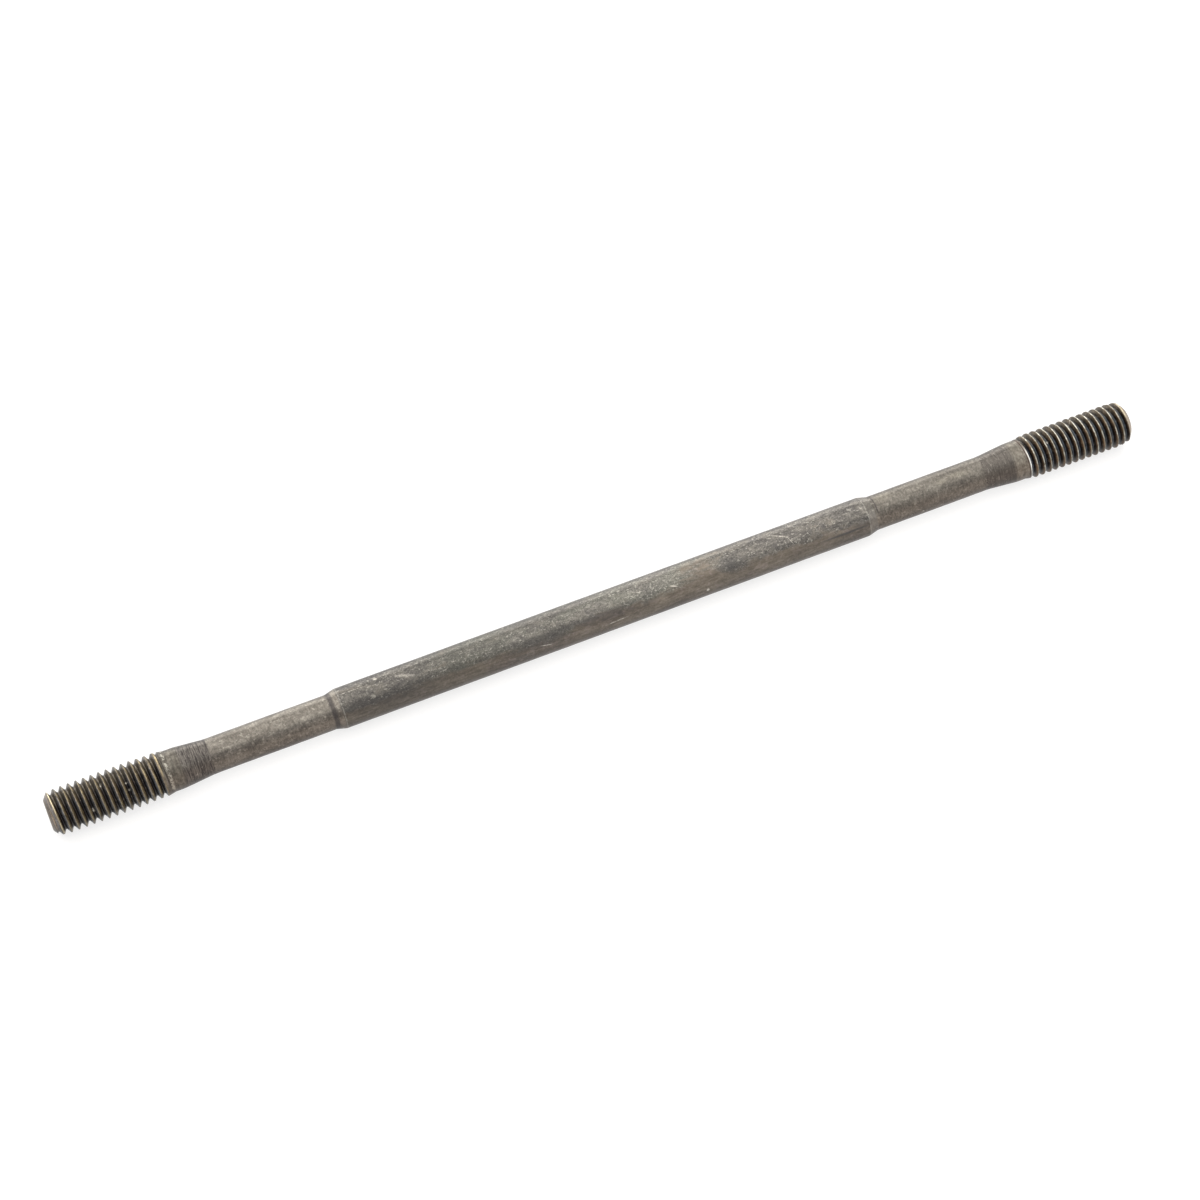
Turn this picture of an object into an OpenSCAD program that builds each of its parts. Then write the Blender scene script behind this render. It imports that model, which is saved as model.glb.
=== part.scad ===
// Cylinder stud: a one-piece steel stud, threaded at both ends, that clamps an engine cylinder and
// its head to the crankcase. Each end has a right-hand thread, a plain collar, a slender taper down
// to a waisted neck, and a short cone up to the thicker central shank. Both ends are alike.
// The stud lies along X, with its middle over the origin and its thread crests resting on Z = 0.

/* [Shank] */
// Length of the whole stud, from end face to end face
stud_length = 241.3; // [220:0.1:300]
// Diameter of the central shank
shank_d = 8.5; // [8:0.01:9]

/* [Threads] */
// Major diameter, over the crests (3/8 inch)
thread_d = 9.525; // [9.2:0.005:10]
// Distance from one crest to the next (16 threads to the inch)
thread_pitch = 1.5875; // [1.25:0.0125:1.75]
// Distance from an end face to where its thread has run out
thread_length = 25.4; // [15:0.1:30]
// Number of turns over which the thread fades into the collar
runout_turns = 1.5; // [0.5:0.25:2]
// Diameter of each flat end face
end_face_d = 6.4; // [5:0.1:7]
// Angle between the end chamfer and the axis
end_chamfer_angle = 52; // [40:1:60]

/* [Collars and necks] */
// Diameter of the plain collar behind each thread
collar_d = 8.6; // [8.3:0.01:9]
// Length of each collar
collar_length = 2; // [0.5:0.1:5]
// Length of the slender taper from collar to neck
taper_length = 6.4; // [4:0.1:10]
// Diameter of each neck
neck_d = 7.4; // [6.5:0.01:7.8]
// Length of each neck
neck_length = 26.1; // [15:0.1:30]
// Length of the cone from neck to shank
cone_length = 2.1; // [1:0.1:4]

/* [Hidden] */

steel = [0.42, 0.40, 0.37];

// Flat facets to each turn of the thread's flanks
turn_facets = 24;

thread_r = thread_d / 2;
collar_r = collar_d / 2;
neck_r = neck_d / 2;
shank_r = shank_d / 2;
end_face_r = end_face_d / 2;

// The thread has the standard 60 degree form: crests an eighth of the pitch wide, and a root
// 17/24 of the sharp V's height below them
flank_angle = 30;
sharp_height = thread_pitch / 2 / tan(flank_angle);
sharp_root_r = thread_r - sharp_height * 7 / 8;
root_r = thread_r - sharp_height * 17 / 24;
// How far the groove's cutter stands clear of what it doesn't cut
cutter_clearance = 0.08;

chamfer_length = (thread_r - end_face_r) / tan(end_chamfer_angle);
runout_length = runout_turns * thread_pitch;
runout_start = thread_length - runout_length;
collar_end = thread_length + collar_length;
neck_start = collar_end + taper_length;
neck_end = neck_start + neck_length;
shank_start = neck_end + cone_length;

// One end's outline before its thread is cut, as [radius, distance from the end face]
end_outline = [
    [0, 0],
    [end_face_r, 0],
    [thread_r, chamfer_length],
    [thread_r, runout_start],
    [collar_r, thread_length],
    [collar_r, collar_end],
    [neck_r, neck_start],
    [neck_r, neck_end],
    [shank_r, shank_start]
];

// The same outline for the stud's other end
far_outline = [
    for (i = [len(end_outline) - 1:-1:0]) [end_outline[i][0], stud_length - end_outline[i][1]]
];

// The stud as turned, before its threads are cut, standing on one end face
module turned_blank() {
    rotate_extrude($fn = 96) polygon(concat(end_outline, far_outline));
}

// Half the width of the thread groove at a radius
function groove_half_width(radius) = (radius - sharp_root_r) * tan(flank_angle);

// How far the groove has risen at a distance from the end face: it comes out through the falling
// crests before the collar starts
function groove_lift(distance) =
    max(0, (distance - runout_start) / runout_length) * (thread_r + cutter_clearance - root_r);

// The groove's section, from its flat root out past the crests, as [radius, distance along the axis]
function groove_section() =
    let (top_r = thread_r + cutter_clearance)
    [
        [root_r, -groove_half_width(root_r)],
        [root_r, groove_half_width(root_r)],
        [top_r, groove_half_width(top_r)],
        [top_r, -groove_half_width(top_r)]
    ];

// The helical groove between the crests: its section swept along a right-hand helix, from before
// the end face to where the thread has run out
module thread_groove() {
    section = groove_section();
    lead_in = 1.25 * thread_pitch;
    facets = ceil((lead_in + thread_length) / thread_pitch * turn_facets);
    points = [
        for (i = [0:facets])
            let (turned = i / turn_facets, distance = thread_pitch * turned - lead_in)
            for (p = section)
                let (radius = p[0] + groove_lift(distance))
                [radius * cos(360 * turned), radius * sin(360 * turned), distance + p[1]]
    ];
    sides = [
        for (i = [0:facets - 1], k = [0:3])
            let (a = 4 * i + k, b = 4 * i + (k + 1) % 4)
            each [[a, a + 4, b + 4], [a, b + 4, b]]
    ];
    last = 4 * facets;
    polyhedron(points, concat([[0, 1, 2, 3]], sides, [[last + 3, last + 2, last + 1, last]]));
}

module stud() {
    color(steel)
        translate([-stud_length / 2, 0, thread_r]) rotate([0, 90, 0])
            difference() {
                turned_blank();
                thread_groove();
                // Turned over end for end, not mirrored, so that this thread is right-hand too
                translate([0, 0, stud_length]) rotate([180, 0, 0]) thread_groove();
            }
}

stud();
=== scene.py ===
"""Dresses the cylinder stud: a finely cut steel piece, its worn finish with light and shade painted
into it, a pale floor and light.
"""

import math

import bmesh
import bpy
import numpy as np
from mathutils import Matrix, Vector


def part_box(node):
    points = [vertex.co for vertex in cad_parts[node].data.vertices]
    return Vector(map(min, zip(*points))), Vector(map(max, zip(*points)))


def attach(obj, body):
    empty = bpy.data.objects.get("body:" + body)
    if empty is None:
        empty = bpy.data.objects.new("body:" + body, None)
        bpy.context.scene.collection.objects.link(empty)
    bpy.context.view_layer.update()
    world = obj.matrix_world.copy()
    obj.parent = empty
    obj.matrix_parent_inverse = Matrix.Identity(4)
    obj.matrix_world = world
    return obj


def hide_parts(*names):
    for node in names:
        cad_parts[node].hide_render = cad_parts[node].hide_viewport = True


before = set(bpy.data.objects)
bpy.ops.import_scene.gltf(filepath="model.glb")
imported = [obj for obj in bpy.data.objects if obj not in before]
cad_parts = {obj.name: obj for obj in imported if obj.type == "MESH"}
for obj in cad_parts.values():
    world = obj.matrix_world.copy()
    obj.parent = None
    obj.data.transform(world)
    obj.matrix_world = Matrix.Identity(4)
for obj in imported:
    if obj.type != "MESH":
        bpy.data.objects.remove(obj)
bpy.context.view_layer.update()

MM = 0.001

# ---- The stud's sizes, in millimetres: the box gives the largest, the rest are the source's own

LOW, HIGH = (np.array(corner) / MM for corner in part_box("stud"))
LENGTH = HIGH[0] - LOW[0]
HALF = LENGTH / 2
THREAD_R = (HIGH[2] - LOW[2]) / 2
AXIS_Z = (HIGH[2] + LOW[2]) / 2
PITCH = 1.5875
RUNOUT_LENGTH = 1.5 * PITCH
THREAD_LENGTH = 25.4
END_FACE_R = 3.2
CHAMFER_ANGLE = math.radians(52)
COLLAR_R = 4.30
COLLAR_LENGTH = 2.0
TAPER_LENGTH = 6.4
NECK_R = 3.70
NECK_LENGTH = 26.1
CONE_LENGTH = 2.1
SHANK_R = 4.25

# Each flank leans 30 degrees: how far along the axis it goes for each millimetre up
FLANK_RUN = math.tan(math.radians(30))
SHARP_HEIGHT = PITCH / 2 / FLANK_RUN
SHARP_ROOT_R = THREAD_R - SHARP_HEIGHT * 7 / 8
ROOT_R = THREAD_R - SHARP_HEIGHT * 17 / 24
CHAMFER_LENGTH = (THREAD_R - END_FACE_R) / math.tan(CHAMFER_ANGLE)
RUNOUT_START = THREAD_LENGTH - RUNOUT_LENGTH
COLLAR_END = THREAD_LENGTH + COLLAR_LENGTH
NECK_START = COLLAR_END + TAPER_LENGTH
NECK_END = NECK_START + NECK_LENGTH
SHANK_START = NECK_END + CONE_LENGTH
# Where the threading tool started to rise out of the left groove and out of the right one
LEFT_CUT_END = RUNOUT_START
RIGHT_CUT_END = RUNOUT_START + 1.1
# How far past the crests the tool has risen at the end of the run-out
RUNOUT_CLEARANCE = 0.08
# The rounding of the groove's root and of its upper edges
ROOT_EASE = 0.12
CREST_EASE = 0.05
# How far the first crest of each thread stays below full size, and where it comes up to it
FIRST_CREST_DROP = 0.22
FIRST_CREST_RISE = (1.3, 3.2)
# How far the last crests of the left thread stay below full size, and where they go down
LEFT_TAIL_DROP = 0.13
TAIL_FALL = (18.5, 20.5)
# How far the crests are rubbed down, in slow waves and quick ones
RUBBED = 0.012
SLOW_RUBBING = 2.3
QUICK_RUBBING = 41.0
# The dents in each thread's crests: how many, where and how wide in turns, and how deep
DENTS = 110
DENT_PLACES = (0.4, 15.8)
DENT_WIDTHS = (0.005, 0.022)
DENT_LOW = 0.02
DENT_SPAN = 0.13
LEFT_SEED = 11
RIGHT_SEED = 29
# Where the turning tool stopped on the left taper and on the right one, and left a fine ring
LEFT_TURNING_END = 34.0
RIGHT_TURNING_END = 34.6
# The crease on the upper front of the shank: its start and end, and its turn from underneath
CREASE_START = HALF + 47.0
CREASE_END = HALF + 58.2
CREASE_TURN = 180 + 54
# The bar's slow waves: height, radians for each millimetre along, waves round it, and start
BAR_WAVES = ((0.006, 0.31, 2, 0.4), (0.005, 0.83, -3, 2.1), (0.004, 1.57, 5, 4.0))

# ---- The mesh: columns run round the stud, rows run along it or along the thread's helix

COLUMNS = 96
# Corners sharper than this are drawn sharp, and the rest smooth
SHARP_ANGLE = math.radians(38)
# Where the helical rows give way to plain rings, at the end face and behind the run-out
HELIX_LOW = 0.15
HELIX_HIGH = 25.7


def smooth_least(a, b, reach):
    """The lesser of a and b, with the corner between them eased off."""
    blend = np.maximum(reach - np.abs(a - b), 0) / reach
    return np.minimum(a, b) - blend * blend * reach / 4


def blank_radius(distance):
    """Radius before the thread is cut, at a distance from the nearer end face."""
    corners = [
        (0, END_FACE_R),
        (CHAMFER_LENGTH, THREAD_R),
        (RUNOUT_START, THREAD_R),
        (THREAD_LENGTH, COLLAR_R),
        (COLLAR_END, COLLAR_R),
        (NECK_START, NECK_R),
        (NECK_END, NECK_R),
        (SHANK_START, SHANK_R),
    ]
    places, radii = zip(*corners)
    return np.interp(distance, places, radii)


def softened_radius(distance):
    """The same outline with its corners eased: gently at the taper, tightly at the cone."""
    places = [26.0, 26.6, NECK_START + 1.0, NECK_START + 1.5]
    reach = np.interp(distance, places, [0.1, 0.6, 0.6, 0.13])
    shares = np.linspace(-1, 1, 9)
    return sum(blank_radius(distance + reach * share) for share in shares) / len(shares)


def groove_radius(across):
    """Radius of the thread groove at a distance across it from its middle."""
    flank = SHARP_ROOT_R + np.abs(across) / FLANK_RUN
    return -smooth_least(-flank, -ROOT_R + 0 * flank, ROOT_EASE)


def pitch_rows():
    """Rows across a pitch, from one groove's middle to the next, close where its section turns."""
    near = [0, 0.1, 0.16, 0.27, 0.42, 0.57, 0.66, 0.705, 0.75]
    far = [PITCH - d for d in near[1:]]
    return near + [PITCH / 2] + far[::-1]


def rise(value, low, high):
    """Goes smoothly from 0 to 1 as the value goes from low to high."""
    u = np.clip((value - low) / (high - low), 0, 1)
    return u * u * (3 - 2 * u)


def unfilled(distance, tail):
    """How far the crests stay below full size: in the first turn, and by tail in the last few."""
    first = FIRST_CREST_DROP * (1 - rise(distance, *FIRST_CREST_RISE))
    return first + tail * rise(distance, *TAIL_FALL)


def crest_wear(along_helix, seed):
    """How far the crest is worn or bruised down at each place along its helix, in turns."""
    draw = np.random.RandomState(seed)
    wear = RUBBED + RUBBED * np.sin(SLOW_RUBBING * along_helix + draw.uniform(0, 6))
    wear = wear * (0.5 + 0.5 * np.sin(QUICK_RUBBING * along_helix + draw.uniform(0, 6)) ** 2)
    for _ in range(DENTS):
        place = draw.uniform(*DENT_PLACES)
        width = draw.uniform(*DENT_WIDTHS)
        depth = DENT_LOW + DENT_SPAN * draw.uniform(0, 1) ** 3
        wear = wear + depth * np.exp(-(((along_helix - place) / width) ** 2))
    return wear


def thread_rows(seed, tail, cut_end):
    """The helical part of an end, as arrays of distance and radius and the rows in a pitch."""
    across = pitch_rows()
    first_turn = -2
    turns = int(HELIX_HIGH / PITCH) + 4
    angle = 2 * np.pi * np.arange(COLUMNS) / COLUMNS
    rows = np.array([(first_turn + n) * PITCH + a for n in range(turns) for a in across])
    # The groove's middle is a quarter turn short of the end face where the angle is nought
    distance = rows[:, None] + PITCH * angle[None] / (2 * np.pi) - PITCH / 4
    near_groove = [a if a < PITCH / 2 else a - PITCH for a in across]
    from_groove = np.array(near_groove * turns)
    groove = groove_radius(from_groove)[:, None] + 0 * distance
    lift = np.maximum(0, (distance - cut_end) / RUNOUT_LENGTH)
    lift = lift * (THREAD_R + RUNOUT_CLEARANCE - ROOT_R)
    crest_turn = np.array([first_turn + n + 0.5 for n in range(turns) for _ in across])
    along_helix = crest_turn[:, None] + angle[None] / (2 * np.pi)
    cap = THREAD_R - crest_wear(along_helix, seed) - unfilled(distance, tail)
    cap = np.maximum(cap, COLLAR_R)
    blank = np.minimum(blank_radius(distance), cap)
    radius = smooth_least(groove + lift, blank, CREST_EASE)
    clamped = np.clip(distance, HELIX_LOW, HELIX_HIGH)
    outside = (distance <= HELIX_LOW) | (distance >= HELIX_HIGH)
    radius = np.where(outside, blank_radius(clamped), radius)
    return clamped, radius, len(across)


def ring_point(distance, radius, angle):
    """A point of the left end, in millimetres from the stud's middle and its axis."""
    return (distance - HALF, radius * np.sin(angle), -radius * np.cos(angle))


class Skin:
    """Gathers rings and rows of points and the faces between them."""

    def __init__(self):
        self.points = []
        self.faces = []
        self.count = 0

    def add_points(self, points):
        """Adds an array of points and returns their numbers."""
        flat = points.reshape(-1, 3)
        self.points.append(flat)
        first = self.count
        self.count += len(flat)
        return np.arange(first, self.count).reshape(points.shape[:-1])

    def add_strip(self, low, high):
        """Joins two rings of point numbers by four-sided faces."""
        self.faces.append(np.stack([low, np.roll(low, -1), np.roll(high, -1), high], -1))

    def add_quads(self, a, b, c, d):
        """Joins four equal arrays of point numbers by faces."""
        self.faces.append(np.stack([a, b, c, d], -1).reshape(-1, 4))


def add_helix(skin, seed, tail, cut_end, turned):
    """Adds one end's thread, as rows that follow its helix."""
    distance, radius, per_pitch = thread_rows(seed, tail, cut_end)
    angle = 2 * np.pi * np.arange(COLUMNS) / COLUMNS
    points = np.stack(ring_point(distance, radius, angle[None] + 0 * distance), -1)
    n = skin.add_points(turned(points))
    low, high = n[:-1], n[1:]
    skin.add_quads(low[:, :-1], low[:, 1:], high[:, 1:], high[:, :-1])
    # Round the back a row meets the row one pitch further on
    back, front = n[:-per_pitch], n[per_pitch:]
    skin.add_quads(back[:-1, -1], front[:-1, 0], front[1:, 0], back[1:, -1])


def add_end_face(skin, turned):
    """Adds one flat end face, with its edge rounded off, out to where the helical rows start."""
    angle = 2 * np.pi * np.arange(COLUMNS) / COLUMNS
    start_r = float(blank_radius(np.array(HELIX_LOW)))
    # The distance from the end face and the radius of each ring
    rings = [(0.0, 0.6), (0.0, 1.4), (0.0, 2.2), (0.0, 2.9), (0.0, END_FACE_R - 0.12)]
    rings += [(0.012, END_FACE_R - 0.03), (0.06, END_FACE_R + 0.045), (HELIX_LOW, start_r)]
    numbers = []
    for distance, radius in rings:
        points = np.stack(ring_point(distance + 0 * angle, radius, angle), -1)
        numbers.append(skin.add_points(turned(points)))
    for low, high in zip(numbers, numbers[1:]):
        skin.add_strip(low, high)
    middle = skin.add_points(turned(np.array([ring_point(0.0, 0.0, 0.0)])))[0]
    first = numbers[0]
    skin.add_quads(first, np.roll(first, -1), middle + 0 * first, middle + 0 * first)


def ring_distances():
    """Where the plain rings stand, from behind the left thread to behind the right one."""
    # From, to and the longest step from ring to ring
    spans = [
        (HELIX_HIGH, COLLAR_END, 0.2),
        (COLLAR_END, NECK_START, 0.13),
        (NECK_START, NECK_END - 0.4, 0.8),
        (NECK_END - 0.4, NECK_END + 0.4, 0.1),
        (NECK_END + 0.4, SHANK_START - 0.2, 0.25),
        (SHANK_START - 0.2, SHANK_START + 0.2, 0.05),
        (SHANK_START + 0.2, HALF, 1.1),
    ]
    half = []
    for low, high, step in spans:
        count = math.ceil((high - low) / step)
        half += [low + (high - low) * i / count for i in range(count)]
    return np.array(half + [HALF] + [LENGTH - d for d in half[::-1]])


def turned_rings(distance):
    """Fine rings that the turning tool left on the tapers and collars, as a change of radius."""
    near = np.minimum(distance, LENGTH - distance)
    turning_end = np.where(distance < HALF, LEFT_TURNING_END, RIGHT_TURNING_END)
    zone = np.clip((near - HELIX_HIGH) / 0.5, 0, 1) * np.clip((turning_end - near) / 0.3, 0, 1)
    # Two sets of rings, the coarser one unevenly spaced
    rings = np.sin(near * 13.1 + 1.3 * np.sin(near * 2.9)) + 0.6 * np.sin(near * 22.7 + 0.9)
    stop = np.exp(-(((near - turning_end) / 0.11) ** 2))
    return 0.006 * zone * rings - 0.03 * stop


def unevenness(distance, angle):
    """Slow waves of a few thousandths of a millimetre, as on rolled bar."""
    waves = 0 * distance
    for height, along, times_round, start in BAR_WAVES:
        waves = waves + height * np.sin(along * distance + times_round * angle + start)
    return waves


def rolled_line(distance, angle):
    """A long shallow crease beside a low ridge, near the right-hand end of the shank."""
    window = np.clip((distance - CREASE_START) / 2.5, 0, 1)
    window = window * np.clip((CREASE_END - distance) / 0.5, 0, 1)
    away = (angle - math.radians(CREASE_TURN)) * SHANK_R
    crease = np.exp(-(((away - 0.15) / 0.22) ** 2))
    ridge = np.exp(-(((away + 0.35) / 0.25) ** 2))
    return window * (0.03 * ridge - 0.05 * crease)


def add_middle(skin):
    """Adds the collars, tapers, necks, cones and shank as plain rings."""
    angle = 2 * np.pi * np.arange(COLUMNS) / COLUMNS
    distances = ring_distances()
    near = np.minimum(distances, LENGTH - distances)
    radius = softened_radius(near) + turned_rings(distances)
    # The ring that meets the thread stays plain, and the waves fade in from it
    radius = np.where(near <= HELIX_HIGH + 1e-6, COLLAR_R, radius)
    grid, turn = np.meshgrid(distances, angle, indexing="ij")
    inside = np.clip((np.minimum(grid, LENGTH - grid) - HELIX_HIGH) / 0.8, 0, 1)
    relief = inside * unevenness(grid, turn) + rolled_line(grid, turn)
    points = np.stack(ring_point(grid, radius[:, None] + relief, turn), -1)
    numbers = skin.add_points(points)
    for low, high in zip(numbers, numbers[1:]):
        skin.add_strip(low, high)


def end_for_end(points):
    """Turns the left end about the vertical, to make the right one."""
    return points * np.array([-1, -1, 1])


def as_they_are(points):
    """Leaves the left end where it is."""
    return points


def welded(skin):
    """Joins points in the same place, drops what has no area, and returns points and faces."""
    points = np.concatenate(skin.points)
    faces = np.concatenate(skin.faces)
    _, kept, same = np.unique(np.round(points, 5), axis=0, return_index=True, return_inverse=True)
    faces = same.reshape(-1)[faces]
    shapes = []
    for face in faces.tolist():
        corners = [c for i, c in enumerate(face) if c != face[i - 1]]
        if len(set(corners)) == len(corners) and len(corners) > 2:
            shapes.append(corners)
    return points[kept], shapes


def closed_mesh(points, faces):
    """A mesh of points and faces, facing outwards, with its sharp corners marked."""
    mesh = bpy.data.meshes.new("stud_steel")
    mesh.from_pydata(points, [], faces)
    work = bmesh.new()
    work.from_mesh(mesh)
    loose = [v for v in work.verts if not v.link_faces]
    bmesh.ops.delete(work, geom=loose, context="VERTS")
    bmesh.ops.recalc_face_normals(work, faces=work.faces)
    work.to_mesh(mesh)
    work.free()
    mesh.polygons.foreach_set("use_smooth", [True] * len(mesh.polygons))
    mesh.set_sharp_from_angle(angle=SHARP_ANGLE)
    return mesh


def build_stud():
    """Makes the whole stud as one piece."""
    skin = Skin()
    add_end_face(skin, as_they_are)
    add_helix(skin, LEFT_SEED, LEFT_TAIL_DROP, LEFT_CUT_END, as_they_are)
    add_middle(skin)
    add_helix(skin, RIGHT_SEED, 0.0, RIGHT_CUT_END, end_for_end)
    add_end_face(skin, end_for_end)
    points, faces = welded(skin)
    places = (points + np.array([0, 0, AXIS_Z])) * MM
    mesh = closed_mesh(places.tolist(), faces)
    stud = bpy.data.objects.new("stud_steel", mesh)
    bpy.context.scene.collection.objects.link(stud)
    return stud


# ---- Materials

# Distances from the nearer end face, in millimetres, over which one finish gives way to the next
CHAMFER_TO_THREAD = (0.95, 1.15)
COLLAR_TO_TAPER = (27.3, 28.3)
NECK_TO_SHANK = (SHANK_START - 0.4, SHANK_START)
# How far from each end face the thread's finish reaches, and where the left collar's pale dots are
LEFT_THREAD_REACH = 23.8
RIGHT_THREAD_REACH = 24.75
LEFT_DOTS = (24.7, 25.3)
# Turns of thread at the run-out: the left end's faint line, and the right one's edge and dark line
FAINT_LINE = (14.95, 15.05)
BRIGHT_EDGE = (15.24, 15.40)
DARK_LINE = (15.46, 15.60)
# Lines along the stud, by their turn in degrees: nought on top and growing towards the front
BROWN_SIDE = 104
REDDISH_SIDE = 95
BAND_TURN = 40
STREAK_TURN = 39
UPPER_BACK = -20
LIT_BACK_SIDE = -62


class Tree:
    """Adds the nodes of one material, one short call each."""

    def __init__(self, name):
        self.material = bpy.data.materials.new(name)
        self.material.use_nodes = True
        self.nodes = self.material.node_tree.nodes
        self.links = self.material.node_tree.links
        self.shader = next(n for n in self.nodes if n.type == "BSDF_PRINCIPLED")

    def put(self, socket, value):
        """Sets a socket, from another socket or from a plain value."""
        if isinstance(value, bpy.types.NodeSocket):
            self.links.new(value, socket)
        elif value is not None:
            socket.default_value = value

    def maths(self, operation, a, b=None, c=None):
        """One Math node."""
        node = self.nodes.new("ShaderNodeMath")
        node.operation = operation
        for socket, value in zip(node.inputs, (a, b, c)):
            self.put(socket, value)
        return node.outputs[0]

    def times(self, a, b):
        """One number times another."""
        return self.maths("MULTIPLY", a, b)

    def plus(self, a, b):
        """Two numbers added."""
        return self.maths("ADD", a, b)

    def minus(self, a, b):
        """One number less another."""
        return self.maths("SUBTRACT", a, b)

    def scaled(self, value, by, start):
        """A start, and a value times a number on top of it."""
        return self.maths("MULTIPLY_ADD", value, by, start)

    def greatest(self, masks):
        """The greatest of several masks."""
        result = masks[0]
        for other in masks[1:]:
            result = self.maths("MAXIMUM", result, other)
        return result

    def vector(self, operation, a, b=None):
        """One Vector Math node."""
        node = self.nodes.new("ShaderNodeVectorMath")
        node.operation = operation
        self.put(node.inputs[0], a)
        self.put(node.inputs[1], b)
        return node.outputs["Value" if operation == "LENGTH" else "Vector"]

    def joined(self, x, y, z):
        """A vector from three numbers."""
        node = self.nodes.new("ShaderNodeCombineXYZ")
        for socket, value in zip(node.inputs, (x, y, z)):
            self.put(socket, value)
        return node.outputs[0]

    def split(self, vector):
        """A vector's three numbers."""
        node = self.nodes.new("ShaderNodeSeparateXYZ")
        self.put(node.inputs[0], vector)
        return node.outputs

    def noise(self, vector, scale, detail=2.0, roughness=0.5, distortion=0.0):
        """Soft noise, about 0 to 1."""
        node = self.nodes.new("ShaderNodeTexNoise")
        self.put(node.inputs["Vector"], vector)
        node.inputs["Scale"].default_value = scale
        node.inputs["Detail"].default_value = detail
        node.inputs["Roughness"].default_value = roughness
        node.inputs["Distortion"].default_value = distortion
        return node.outputs[0]

    def step(self, value, low, high, start=0.0, end=1.0):
        """Rises smoothly from start to end as the value goes from low to high."""
        node = self.nodes.new("ShaderNodeMapRange")
        node.interpolation_type = "SMOOTHSTEP"
        self.put(node.inputs["Value"], value)
        self.put(node.inputs["From Min"], low)
        self.put(node.inputs["From Max"], high)
        self.put(node.inputs["To Min"], start)
        self.put(node.inputs["To Max"], end)
        return node.outputs[0]

    def between(self, value, low, high, soft):
        """Near 1 from low to high, and fading to 0 over a soft length outside."""
        return self.times(
            self.step(value, low - soft, low + soft),
            self.step(value, high - soft, high + soft, 1.0, 0.0),
        )

    def mix(self, share, a, b, way="MIX"):
        """One colour over another."""
        node = self.nodes.new("ShaderNodeMix")
        node.data_type = "RGBA"
        node.blend_type = way
        node.clamp_factor = True
        self.put(node.inputs["Factor"], share)
        # Inputs 6 and 7 and output 2 are the ones for colours
        self.put(node.inputs[6], colour(a))
        self.put(node.inputs[7], colour(b))
        return node.outputs[2]

    def lighten(self, base, by):
        """A colour times a number."""
        return self.vector("MULTIPLY", base, self.joined(by, by, by))

    def varied(self, base, noise, low, high):
        """A colour made darker and lighter by noise, times low to high."""
        return self.lighten(base, self.step(noise, 0.3, 0.7, low, high))


def colour(value):
    """A colour as four numbers, or the socket it came in."""
    return value if isinstance(value, bpy.types.NodeSocket) else (*value, 1.0)


class Place:
    """Where a point of the stud's surface is, in millimetres, as sockets."""

    def __init__(self, tree):
        self.tree = tree
        coordinates = tree.nodes.new("ShaderNodeTexCoord").outputs["Object"]
        in_mm = tree.vector("MULTIPLY", coordinates, (1000, 1000, 1000))
        self.point = tree.vector("SUBTRACT", in_mm, (0, 0, AXIS_Z))
        self.x, y, z = tree.split(self.point)
        self.from_end = tree.minus(HALF, tree.maths("ABSOLUTE", self.x))
        squares = tree.plus(tree.times(y, y), tree.times(z, z))
        self.radius = tree.maths("SQRT", squares)
        # The angle round the axis: nought on top, growing towards the front
        self.turn = tree.maths("ARCTAN2", tree.times(y, -1.0), z)
        self.arc = tree.times(self.turn, SHANK_R)
        # 1 on the right-hand half of the stud, and 1 on the left-hand half
        self.right = tree.step(self.x, -1.0, 1.0)
        self.left = tree.minus(1.0, self.right)
        # Turns of thread from the end face: whole in the groove, and a half more on the crest
        around = tree.maths("DIVIDE", self.turn, 2 * math.pi)
        around = tree.times(tree.maths("SIGN", self.x), around)
        turns = tree.minus(tree.maths("DIVIDE", self.from_end, PITCH), 0.25)
        self.helix = tree.plus(turns, around)
        self.across = tree.maths("FRACT", self.helix)
        self.normal_x = tree.split(tree.nodes.new("ShaderNodeNewGeometry").outputs["Normal"])[0]

    def stretched(self, along, across):
        """The point, scaled along the axis and across it, for noise that is longer one way."""
        return self.tree.vector("MULTIPLY", self.point, (along, across, across))

    def by_end(self, left, right):
        """One number on the left half of the stud, and another on the right half."""
        return self.tree.scaled(self.right, right - left, left)

    def facing(self, turn, low, high, start=0.0, end=1.0):
        """Rises from start to end towards the line along the stud at a turn in degrees."""
        away = self.tree.minus(self.turn, math.radians(turn))
        return self.tree.step(self.tree.maths("COSINE", away), low, high, start, end)

    def mark(self, x, turn, half_length, half_width, lean=0.0, soft=0.5):
        """1 inside a small oval on the surface, at x millimetres and turn degrees, 0 outside."""
        node = self.tree.nodes.new("ShaderNodeMapping")
        node.vector_type = "TEXTURE"
        self.tree.put(node.inputs["Vector"], self.tree.joined(self.x, self.arc, 0.0))
        node.inputs["Location"].default_value = (x, math.radians(turn) * SHANK_R, 0)
        node.inputs["Rotation"].default_value = (0, 0, math.radians(lean))
        node.inputs["Scale"].default_value = (half_length, half_width, 1)
        away = self.tree.vector("LENGTH", node.outputs[0])
        return self.tree.step(away, 1 + soft, 1 - soft)


def speckle(tree, place):
    """Fine blotches of the phosphate coating, from about 0.2 to 0.8."""
    fine = tree.noise(place.point, 2.2, 3.0, 0.65)
    finer = tree.noise(place.stretched(0.8, 1.1), 4.5, 2.0, 0.6)
    return tree.plus(tree.times(fine, 0.6), tree.times(finer, 0.4))


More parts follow.
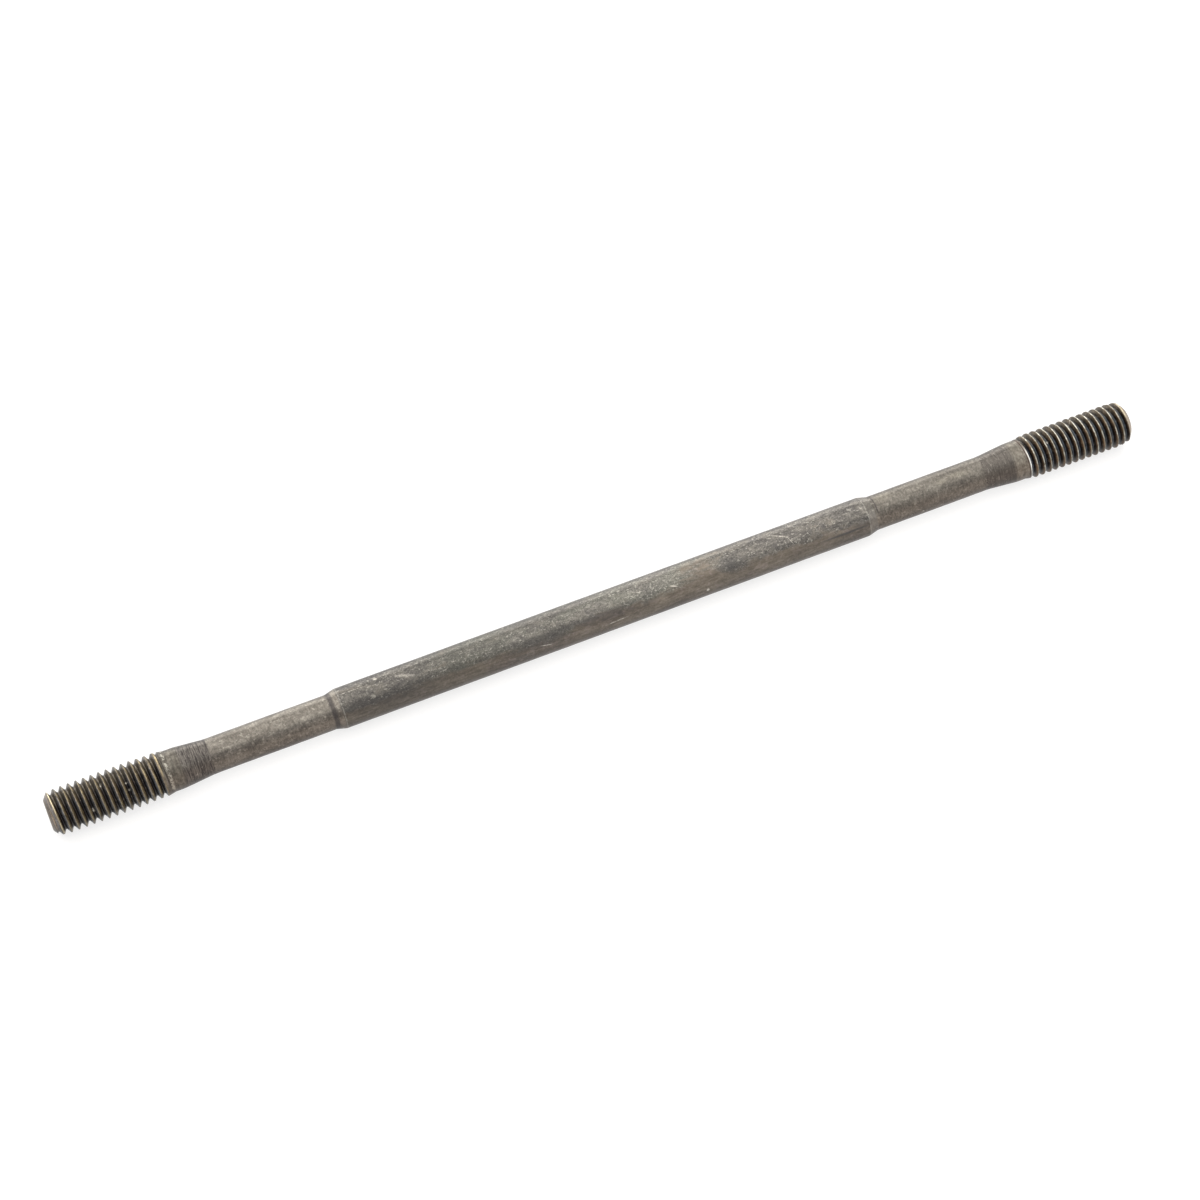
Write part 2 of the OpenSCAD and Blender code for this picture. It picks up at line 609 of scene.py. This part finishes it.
def shank_greys(tree, place, grain, clouds, patches):
    """Cloudy greys for the lit top, with pale worm-like flecks painted as glints, and small dark
    pits.
    """
    worms = tree.noise(place.stretched(1.15, 1.7), 1.0, 3.0, 0.75, 1.4)
    pits = tree.noise(place.stretched(1.5, 2.1), 1.0, 2.0, 0.7, 0.8)
    base = tree.mix(tree.step(patches, 0.35, 0.66), (0.088, 0.082, 0.077), (0.150, 0.140, 0.124))
    green = tree.step(clouds, 0.35, 0.6, 0.0, 0.7)
    green = tree.times(green, tree.between(place.x, -38.0, 22.0, 8.0))
    base = tree.mix(green, base, (0.126, 0.127, 0.107))
    base = tree.mix(tree.step(pits, 0.46, 0.34, 0.0, 0.55), base, (0.050, 0.047, 0.045))
    # Painted glints: pale flecks, bunched by the clouds
    clustered = tree.step(clouds, 0.25, 0.6, 0.30, 0.95)
    flecks = tree.times(tree.step(worms, 0.54, 0.66), clustered)
    base = tree.mix(flecks, base, (0.335, 0.322, 0.285))
    return tree.varied(base, grain, 0.62, 1.36)


def shank_browns(tree, place, grain, clouds):
    """Smooth warm brown with faint streaks and a touch of purple."""
    streaks = tree.noise(place.stretched(0.25, 2.2), 1.0, 3.0, 0.6)
    mottle = tree.noise(place.stretched(0.8, 1.2), 1.0, 3.0, 0.65, 0.8)
    brown = tree.mix(tree.step(clouds, 0.35, 0.65), (0.106, 0.089, 0.075), (0.146, 0.125, 0.101))
    brown = tree.mix(tree.step(mottle, 0.52, 0.68, 0.0, 0.45), brown, (0.155, 0.126, 0.120))
    brown = tree.varied(brown, streaks, 0.82, 1.18)
    brown = tree.varied(brown, mottle, 0.84, 1.16)
    return tree.varied(brown, grain, 0.84, 1.16)


def brown_share(tree, place, clouds, patches):
    """How far the shank is brown: below all along, with a ragged edge that climbs in two places."""
    climbs = tree.greatest([
        place.mark(20.5, 30, 4.0, 4.0, soft=0.6),
        place.mark(-1.0, 50, 6.0, 2.0, soft=0.6),
    ])
    ragged = tree.times(tree.minus(patches, 0.5), 1.7)
    ragged = tree.scaled(tree.minus(clouds, 0.5), 1.6, ragged)
    ragged = tree.scaled(climbs, 0.6, ragged)
    lower = tree.plus(place.facing(BROWN_SIDE, 0.20, 0.78), ragged)
    return tree.step(lower, 0.12, 0.90)


def dark_band(tree, place, clouds, patches):
    """The broken band of painted shade between the lit grey and the brown, the dark patches in it,
    and painted shade along the crease.
    """
    band = place.facing(BAND_TURN, 0.95, 0.998)
    band = tree.times(band, tree.step(clouds, 0.56, 0.42))
    band = tree.times(band, tree.step(patches, 0.32, 0.55, 0.1, 1.0))
    band = tree.greatest([
        tree.times(band, 0.55),
        tree.times(place.mark(27.6, 30, 2.0, 1.5, soft=0.8), 0.6),
        tree.times(place.mark(-46.0, 48, 9.0, 1.6, soft=0.8), 0.5),
        tree.times(place.mark(-14.9, 52, 2.4, 0.8, soft=0.7), 0.5),
        # Painted shade along the crease near the right end of the shank
        place.mark(52.9, 57, 5.2, 0.25, soft=0.6),
    ])
    return tree.times(band, 0.8)


def shank_level(tree, place):
    """How light the shank is along its top: duller left of the middle, a little brighter right."""
    duller = tree.times(tree.between(place.x, -36.0, -8.0, 7.0), -0.15)
    change = tree.scaled(tree.between(place.x, 2.0, 24.0, 6.0), 0.09, duller)
    return tree.scaled(place.facing(-8, 0.3, 0.9), change, 1.0)


def shank_colour(tree, place, grain):
    """Painted light and shade over the coating: cloudy greys with painted glints on the lit top,
    smooth brown below, and a broken band of painted shade between.
    """
    clouds = tree.noise(place.stretched(0.07, 0.16), 1.0, 4.0, 0.6, 0.5)
    patches = tree.noise(place.stretched(0.28, 0.55), 1.0, 3.0, 0.6, 0.8)
    greys = shank_greys(tree, place, grain, clouds, patches)
    browns = shank_browns(tree, place, grain, clouds)
    # Painted light: the lit greys on top give way to brown towards the underside
    base = tree.mix(brown_share(tree, place, clouds, patches), greys, browns)
    # Painted shade: the band between, and the crease
    base = tree.mix(dark_band(tree, place, clouds, patches), base, (0.062, 0.060, 0.060))
    pale = tree.greatest([
        place.mark(53.2, 43, 5.0, 0.65, soft=0.6),
        place.mark(11.5, 53, 0.9, 0.9, soft=0.8),
        place.mark(-18.5, 21, 3.8, 0.9, soft=0.8),
    ])
    base = tree.lighten(base, tree.scaled(pale, 0.22, 1.0))
    base = tree.lighten(base, shank_level(tree, place))
    # The left end of the shank is darker all round
    return tree.lighten(base, tree.step(place.x, -42.0, -14.0, 0.77, 1.0))


def neck_colour(tree, place, grain):
    """Warm mottled grey with a fine brushed grain and pale patches, browner below, with a streak of
    painted shade along the front side and a painted lighter upper back.
    """
    clouds = tree.noise(place.stretched(0.16, 0.35), 1.0, 3.0, 0.6, 0.5)
    brushed = tree.noise(place.stretched(2.4, 1.1), 1.0, 3.0, 0.65, 0.6)
    mottle = tree.noise(place.stretched(0.9, 1.3), 1.0, 3.0, 0.7, 0.8)
    # The right neck is less cloudy than the left one
    cloudy = tree.step(clouds, 0.35, 0.65, -0.5, 0.5)
    cloudy = tree.scaled(cloudy, place.by_end(1.0, 0.55), 0.5)
    base = tree.mix(cloudy, (0.108, 0.097, 0.083), (0.168, 0.155, 0.134))
    base = tree.mix(tree.step(mottle, 0.54, 0.68, 0.0, 0.65), base, (0.265, 0.248, 0.215))
    # Painted shade: a dark streak along the front side, fainter on the right neck
    streak = place.facing(STREAK_TURN, 0.95, 0.998)
    streak = tree.times(streak, tree.step(mottle, 0.62, 0.40, 0.1, 0.55))
    streak = tree.times(streak, place.by_end(1.0, 0.58))
    base = tree.mix(streak, base, (0.066, 0.060, 0.056))
    pale = tree.greatest([
        place.mark(63.3, -15, 1.8, 1.0, soft=0.7),
        place.mark(80.4, 4, 2.4, 0.7, 8.0, soft=0.7),
        place.mark(76.4, 8, 1.2, 0.6, soft=0.7),
    ])
    base = tree.mix(tree.times(pale, 0.30), base, (0.290, 0.268, 0.216))
    # Painted light: the upper back is lighter, far more on the left neck than the right
    upper = place.facing(UPPER_BACK, 0.4, 0.85)
    share = tree.scaled(upper, place.by_end(0.18, 0.02), place.by_end(0.92, 0.90))
    base = tree.lighten(base, share)
    base = tree.varied(base, brushed, 0.76, 1.24)
    return tree.varied(base, grain, 0.76, 1.24)


def taper_colour(tree, place, grain):
    """Dark turned steel with thin rings, broken by small bright specks, and painted lighter on the
    upper back on the right.
    """
    rings = tree.noise(place.stretched(4.2, 0.30), 1.0, 3.0, 0.8)
    broken = tree.noise(place.stretched(2.6, 0.9), 1.0, 3.0, 0.7, 0.5)
    ticks = tree.mix(tree.step(rings, 0.40, 0.60), (0.042, 0.036, 0.034), (0.146, 0.132, 0.117))
    base = tree.mix(tree.times(place.right, 0.65), ticks, (0.086, 0.077, 0.067))
    base = tree.mix(tree.step(broken, 0.56, 0.72, 0.0, 0.75), base, (0.280, 0.262, 0.232))
    # Painted light: the right taper is lighter on its upper back
    upper = tree.times(place.facing(UPPER_BACK, 0.4, 0.85), place.right)
    base = tree.lighten(base, tree.scaled(upper, 0.16, 1.0))
    base = tree.lighten(base, place.by_end(0.80, 0.89))
    return tree.varied(base, grain, 0.78, 1.22)


def collar_colour(tree, place, grain):
    """Finely mottled medium grey, darker and banded on the left, with pale dots by its run-out, and
    painted light low at the front on the right.
    """
    mottle = tree.noise(place.stretched(1.5, 1.3), 1.0, 4.0, 0.7, 0.5)
    bands = tree.noise(place.stretched(2.2, 0.3), 1.0, 2.0, 0.6)
    base = tree.mix(tree.step(mottle, 0.36, 0.66), (0.110, 0.097, 0.080), (0.185, 0.171, 0.144))
    banded = tree.step(bands, 0.3, 0.7, -1.0, 1.0)
    base = tree.lighten(base, tree.scaled(banded, place.by_end(0.28, 0.16), 1.0))
    base = tree.lighten(base, place.by_end(0.76, 0.98))
    # Painted light: the right collar is lighter low at the front
    lower = tree.times(place.facing(62, 0.3, 0.9), place.right)
    base = tree.lighten(base, tree.scaled(lower, 0.24, 0.96))
    dots = tree.times(tree.between(place.from_end, *LEFT_DOTS, 0.12), place.left)
    dots = tree.times(dots, tree.step(mottle, 0.47, 0.56, 0.0, 0.65))
    base = tree.mix(dots, base, (0.420, 0.405, 0.350))
    return tree.varied(base, grain, 0.84, 1.16)


def flank_colour(tree, place, grain):
    """Painted shade and reflections in the groove: black in the roots, bluish, pale and brown
    flanks by the way they face, and olive grey at the back where light comes in.
    """
    # Radii in millimetres: the groove's root is at 3.8 and its crests at 4.8
    ragged = tree.times(tree.minus(grain, 0.5), 0.30)
    height = tree.plus(place.radius, ragged)
    # Painted shade and reflection: each flank is coloured by the way it faces, and darkens towards
    # the root
    leftward = tree.step(place.normal_x, 0.25, -0.25)
    cold = tree.mix(tree.step(height, 3.95, 4.55), (0.010, 0.009, 0.011), (0.096, 0.104, 0.118))
    warm = tree.mix(tree.step(height, 3.92, 4.42), (0.012, 0.008, 0.007), (0.188, 0.132, 0.065))
    left_end = tree.mix(leftward, warm, cold)
    brown = tree.mix(tree.step(height, 4.12, 4.66), (0.012, 0.008, 0.008), (0.110, 0.065, 0.034))
    pale = tree.mix(tree.step(height, 3.98, 4.60), (0.048, 0.054, 0.061), (0.185, 0.178, 0.152))
    right_end = tree.mix(leftward, pale, brown)
    # Painted shade: navy black in the deepest roots of the right end
    right_end = tree.mix(tree.step(height, 3.96, 3.82), right_end, (0.044, 0.053, 0.066))
    flank = tree.mix(place.right, left_end, right_end)
    # Painted light: olive grey where light from behind reaches into the grooves on the upper back
    lit_back_colour = tree.mix(place.right, (0.086, 0.073, 0.054), (0.108, 0.093, 0.071))
    # The painted light at the back reaches further down on the left
    low = place.by_end(0.13, 0.30)
    high = place.by_end(0.76, 0.86)
    lit_back_share = tree.times(place.facing(LIT_BACK_SIDE, low, high), 0.75)
    root_fade = tree.times(tree.step(height, 4.35, 3.95, 0.0, 0.6), place.right)
    lit_back_share = tree.times(lit_back_share, tree.minus(1.0, root_fade))
    return tree.mix(lit_back_share, flank, lit_back_colour)


def crest_lines(tree, place, blotches, grit):
    """1 on the thin, ragged lines along the crests that are rubbed bare and carry a painted
    highlight.
    """
    # The line is past the crest's middle on the left, and just before it on the right, where the
    # painted highlight falls
    away = tree.minus(place.across, place.by_end(0.62, 0.465))
    away = tree.maths("ABSOLUTE", away)
    away = tree.scaled(tree.minus(blotches, 0.5), 0.20, away)
    away = tree.scaled(tree.minus(grit, 0.5), 0.16, away)
    away = tree.maths("DIVIDE", away, place.by_end(0.10, 0.088))
    return tree.step(away, 1.0, 0.5)


def crest_colour(tree, place, blotches):
    """Bare steel, bright in blotches and brightest on each end's first crest, with painted light
    that makes it lighter on top.
    """
    dull = tree.mix(place.right, (0.108, 0.090, 0.060), (0.200, 0.180, 0.135))
    bright = tree.mix(place.right, (0.330, 0.270, 0.160), (0.540, 0.530, 0.462))
    worn = tree.mix(tree.step(blotches, 0.38, 0.60), bright, dull)
    # Painted highlight: lighter on top, and the first crest brightest on top
    upper = place.facing(-5, 0.75, 1.0)
    worn = tree.lighten(worn, tree.scaled(upper, 0.32, 0.86))
    first = tree.times(tree.step(place.helix, 1.05, 0.95), tree.scaled(upper, 0.55, 0.35))
    return tree.mix(first, worn, (0.700, 0.610, 0.410))


def thread_colour(tree, place, grain):
    """The flanks, with thin lines along the crests: rubbed bare steel with a painted highlight on
    it.
    """
    blotches = tree.noise(place.stretched(0.55, 0.55), 1.0, 3.0, 0.65)
    grit = tree.noise(place.stretched(2.0, 1.3), 1.0, 3.0, 0.75, 0.6)
    flank = flank_colour(tree, place, grain)
    flank = tree.varied(flank, blotches, 0.7, 1.35)
    flank = tree.varied(flank, grit, 0.6, 1.5)
    flank = tree.mix(tree.step(grit, 0.58, 0.70, 0.0, 0.55), flank, (0.190, 0.160, 0.115))
    line = crest_lines(tree, place, blotches, grit)
    return tree.mix(line, flank, crest_colour(tree, place, blotches))


def runout_marks(tree, place, finish):
    """The bright edge, a painted highlight, and the dark line where the right thread ends, and a
    faint line on the left.
    """
    seen = place.facing(10, -0.3, 0.2)
    right = tree.times(place.right, seen)
    left = tree.times(place.left, seen)
    faint = tree.times(tree.between(place.helix, *FAINT_LINE, 0.03), left)
    finish = tree.mix(tree.times(faint, 0.6), finish, (0.050, 0.044, 0.040))
    dark = tree.times(tree.between(place.helix, *DARK_LINE, 0.04), right)
    finish = tree.mix(tree.times(dark, 0.85), finish, (0.050, 0.026, 0.022))
    # Painted highlight: a near-white edge where the right thread ends, strongest low at the front
    edge = tree.times(tree.between(place.helix, *BRIGHT_EDGE, 0.03), right)
    edge = tree.times(edge, place.facing(68, 0.20, 0.94))
    return tree.mix(edge, finish, (0.850, 0.855, 0.830))


def chamfer_colour(tree, place, grain):
    """Bare turned steel, tan with thin rings, some of them bluish on the left."""
    rings = tree.noise(tree.joined(place.x, place.radius, 0.0), 3.4, 2.0, 0.6)
    bluish = tree.noise(tree.joined(place.x, place.radius, 3.0), 2.6, 2.0, 0.6)
    bluish = tree.times(tree.step(bluish, 0.44, 0.54), place.left)
    base = tree.mix(tree.step(rings, 0.38, 0.62), (0.120, 0.098, 0.078), (0.340, 0.264, 0.186))
    base = tree.mix(tree.times(bluish, 0.75), base, (0.118, 0.126, 0.146))
    # The flat end face, inside the chamfer, is plainer
    flat = tree.step(place.from_end, 0.20, 0.10)
    plain = tree.mix(tree.step(rings, 0.38, 0.62), (0.170, 0.148, 0.122), (0.225, 0.192, 0.154))
    base = tree.mix(tree.times(flat, 0.85), base, plain)
    return tree.varied(base, grain, 0.80, 1.20)


def shoulder_marks(tree, place, grain, finish):
    """The cone, painted lighter on its upper back and greyer on the right, with painted shade at
    its foot and its rubbed top edge.
    """
    cone = tree.between(place.from_end, NECK_END + 0.4, SHANK_START - 0.1, 0.2)
    greyer = tree.times(tree.times(cone, place.right), 0.13)
    # Painted light: the cone is lighter on its upper back
    lighter = tree.times(cone, place.facing(UPPER_BACK, 0.3, 0.8))
    finish = tree.lighten(finish, tree.scaled(lighter, 0.30, 1.0))
    finish = tree.mix(greyer, finish, (0.265, 0.272, 0.266))
    # Painted shade at the foot: on the left a dark corner, and on the right a thin line that shows
    # from above
    corner = tree.between(place.from_end, NECK_END - 0.15, NECK_END + 0.85, 0.28)
    line = tree.between(place.from_end, NECK_END - 0.42, NECK_END - 0.16, 0.09)
    line = tree.times(line, place.facing(UPPER_BACK, 0.45, 0.75))
    dark = tree.greatest([tree.times(corner, place.left), tree.times(line, place.right)])
    finish = tree.mix(tree.times(dark, 0.75), finish, (0.040, 0.035, 0.036))
    edge = tree.between(place.from_end, SHANK_START - 0.02, SHANK_START + 0.14, 0.12)
    edge = tree.times(edge, tree.step(grain, 0.40, 0.60, 0.20, 0.85))
    return tree.mix(edge, finish, (0.320, 0.305, 0.270))


def scars(tree, place, grain):
    """The stud's few bright nicks, and its paler, broken scratches."""
    nicks = tree.greatest([
        tree.times(place.mark(-50.3, -20, 0.40, 0.20, 15), 0.85),
        place.mark(14.3, 28, 0.75, 0.15, 22),
        place.mark(21.2, 76, 0.30, 0.30),
        place.mark(71.0, 88, 0.20, 0.18),
    ])
    scratches = tree.greatest([
        place.mark(-56.0, -10, 2.7, 0.07, 1),
        tree.times(place.mark(-44.7, 2, 2.3, 0.34, 21, soft=0.8), 0.5),
        place.mark(-14.8, 62, 1.2, 0.09, 13),
        place.mark(0.9, 67, 2.2, 0.11, -3),
        place.mark(39.1, -4, 2.0, 0.13, 30),
        place.mark(41.0, 20, 1.0, 0.07, 67),
        place.mark(38.5, -55, 0.8, 0.22),
        place.mark(68.4, 88, 0.20, 0.18),
        place.mark(75.3, 90, 0.20, 0.18),
        place.mark(-83.8, -7, 0.30, 0.16, 30),
        place.mark(-112.0, 60, 0.25, 0.50),
        place.mark(-104.2, 17, 0.30, 0.20),
        place.mark(-104.0, 39, 0.20, 0.30),
        place.mark(-109.1, -4, 0.22, 0.45, 20),
        place.mark(101.2, 8, 0.30, 0.30),
        place.mark(108.2, -30, 0.90, 0.12, -35),
    ])
    broken = tree.times(scratches, tree.step(grain, 0.40, 0.58, 0.15, 0.7))
    return tree.greatest([tree.times(nicks, 0.85), broken])


def turned_share(tree, place, grain):
    """1 beyond where the turning tool stopped, with an edge that is more ragged on the right."""
    turning_end = place.by_end(LEFT_TURNING_END, RIGHT_TURNING_END)
    ragged = tree.times(tree.minus(grain, 0.5), place.by_end(0.3, 3.3))
    past = tree.minus(tree.plus(place.from_end, ragged), turning_end)
    return tree.step(past, -0.1, 0.1)


def plain_finish(tree, place, grain):
    """The colours of the shank, necks, tapers and collars, one over another towards the ends."""
    wobble = tree.times(tree.minus(grain, 0.5), 0.5)
    near = tree.plus(place.from_end, wobble)
    neck = neck_colour(tree, place, grain)
    taper = taper_colour(tree, place, grain)
    collar = collar_colour(tree, place, grain)
    finish = tree.mix(tree.step(near, *NECK_TO_SHANK), neck, shank_colour(tree, place, grain))
    finish = tree.mix(turned_share(tree, place, grain), taper, finish)
    finish = tree.mix(tree.step(near, *COLLAR_TO_TAPER), collar, finish)
    # Underneath, all but the shank is redder
    off_shank = tree.step(near, *NECK_TO_SHANK, 1.0, 0.0)
    redder = tree.times(place.facing(REDDISH_SIDE, 0.3, 0.9), off_shank)
    return tree.mix(redder, finish, (0.98, 0.89, 0.85), "MULTIPLY")


def whole_finish(tree, place, grain):
    """The plain parts' colours, with the threads, end faces, marks and shading over them."""
    finish = plain_finish(tree, place, grain)
    past = tree.minus(place.from_end, place.by_end(LEFT_THREAD_REACH, RIGHT_THREAD_REACH))
    thread = thread_colour(tree, place, grain)
    finish = tree.mix(tree.step(past, -0.3, 0.3), thread, finish)
    finish = runout_marks(tree, place, finish)
    chamfer = chamfer_colour(tree, place, grain)
    finish = tree.mix(tree.step(place.from_end, *CHAMFER_TO_THREAD), chamfer, finish)
    finish = shoulder_marks(tree, place, grain, finish)
    finish = tree.mix(scars(tree, place, grain), finish, (0.55, 0.52, 0.46))
    # Darker underneath, as in the photo, where the pale floor would light it too much
    return tree.lighten(finish, place.facing(10, 0.0, 0.75, 0.64, 1.0))


def steel_material():
    """The stud's dark phosphated steel, from its threads to its shank."""
    tree = Tree("dark_phosphated_steel")
    place = Place(tree)
    grain = speckle(tree, place)
    shader = tree.shader
    tree.put(shader.inputs["Base Color"], whole_finish(tree, place, grain))
    shader.inputs["Metallic"].default_value = 0.65
    tree.put(shader.inputs["Roughness"], tree.step(grain, 0.3, 0.7, 0.42, 0.34))
    bump = tree.nodes.new("ShaderNodeBump")
    bump.inputs["Strength"].default_value = 0.6
    bump.inputs["Distance"].default_value = 0.00003
    tree.put(bump.inputs["Height"], grain)
    tree.put(shader.inputs["Normal"], bump.outputs[0])
    return tree.material


def floor_material():
    """A plain pale studio floor, with a little light of its own that keeps its shadows pale."""
    tree = Tree("pale_floor")
    tree.shader.inputs["Base Color"].default_value = (0.36, 0.36, 0.36, 1)
    tree.shader.inputs["Roughness"].default_value = 0.9
    tree.shader.inputs["Specular IOR Level"].default_value = 0.0
    tree.shader.inputs["Emission Color"].default_value = (1.0, 1.0, 1.0, 1)
    # Beyond the lights the floor glows fully, so it stays as white there as it is near the stud
    away = tree.vector("LENGTH", tree.nodes.new("ShaderNodeTexCoord").outputs["Object"])
    tree.put(tree.shader.inputs["Emission Strength"], tree.step(away, 0.6, 1.1, 0.7, 1.0))
    return tree.material


# ---- Stage: sizes and distances here are in metres

FLOOR_SIZE = 40.0
# Every lamp faces this point on the floor, under the stud's middle
LAMP_AIM = Vector((0, 0, 0))
ARCH_RADIUS = 1.2
ARCH_LENGTH = 2.0
ARCH_TINT = (1.0, 0.97, 0.935)
# The arch's softboxes: name, turn from straight up towards the front, width and power
ARCH = (
    ("low_back", -79, 0.47, 13.0),
    ("middle_back", -56, 0.47, 2.5),
    ("high_back", -34, 0.47, 8.5),
    ("top", 0, 0.94, 12.5),
    ("front", 45, 0.94, 5.5),
    ("low_front", 79, 0.47, 2.5),
)
# The lamps beyond the ends: name, place, power and tint
END_LAMP_SIZE = (0.9, 0.9)
END_LAMPS = (
    ("left", (-1.2, 0.0, 0.5), 1.0, (0.94, 0.97, 1.0)),
    ("right", (1.15, -0.45, 0.45), 5.5, (1.0, 0.975, 0.95)),
)
WORLD_STRENGTH = 0.15
# The camera, found by fitting the photo's outline
CAMERA_AZIMUTH = math.radians(-23.004)
CAMERA_ELEVATION = math.radians(59.537)
CAMERA_DISTANCE = 0.6480
CAMERA_AIM = Vector((-0.000143, 0.002925, AXIS_Z * MM))
CAMERA_LENS = 93.9


def add_floor():
    """A flat floor under the stud, far larger than the view."""
    bpy.ops.mesh.primitive_plane_add(size=FLOOR_SIZE, location=(0, 0, LOW[2] * MM))
    floor = bpy.context.object
    floor.name = "floor"
    floor.data.materials.append(floor_material())


def add_light(name, place, size, power, tint):
    """A soft four-sided light at a place, facing the stud."""
    lamp = bpy.data.lights.new(name, "AREA")
    lamp.shape = "RECTANGLE"
    lamp.size, lamp.size_y = size
    lamp.energy = power
    lamp.color = tint
    holder = bpy.data.objects.new(name, lamp)
    holder.location = place
    holder.rotation_euler = (LAMP_AIM - Vector(place)).to_track_quat("-Z", "Y").to_euler()
    bpy.context.scene.collection.objects.link(holder)


def add_lights():
    """An arch of softboxes over the stud, and one lamp beyond each of its ends."""
    for name, turn, width, power in ARCH:
        across, up = math.sin(math.radians(turn)), math.cos(math.radians(turn))
        place = (0, -ARCH_RADIUS * across, ARCH_RADIUS * up)
        add_light(name, place, (ARCH_LENGTH, width), power, ARCH_TINT)
    for name, place, power, tint in END_LAMPS:
        add_light(name, place, END_LAMP_SIZE, power, tint)


def add_world():
    """A little even white light from all round."""
    world = bpy.data.worlds.new("studio")
    world.use_nodes = True
    background = world.node_tree.nodes["Background"]
    background.inputs["Color"].default_value = (1, 1, 1, 1)
    background.inputs["Strength"].default_value = WORLD_STRENGTH
    bpy.context.scene.world = world


def add_camera():
    """A level camera that looks down on the stud from the front and its left."""
    back = Vector((
        math.sin(CAMERA_AZIMUTH) * math.cos(CAMERA_ELEVATION),
        -math.cos(CAMERA_AZIMUTH) * math.cos(CAMERA_ELEVATION),
        math.sin(CAMERA_ELEVATION),
    ))
    lens = bpy.data.cameras.new("camera")
    lens.sensor_width = 36.0
    lens.lens = CAMERA_LENS
    lens.clip_start = 0.01
    camera = bpy.data.objects.new("camera", lens)
    camera.location = CAMERA_AIM + CAMERA_DISTANCE * back
    camera.rotation_euler = (-back).to_track_quat("-Z", "Y").to_euler()
    bpy.context.scene.collection.objects.link(camera)
    bpy.context.scene.camera = camera


stud = build_stud()
stud.data.materials.append(steel_material())
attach(stud, "root")
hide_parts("stud")

add_floor()
add_world()
add_lights()
add_camera()
bpy.context.scene.view_settings.view_transform = "Standard"
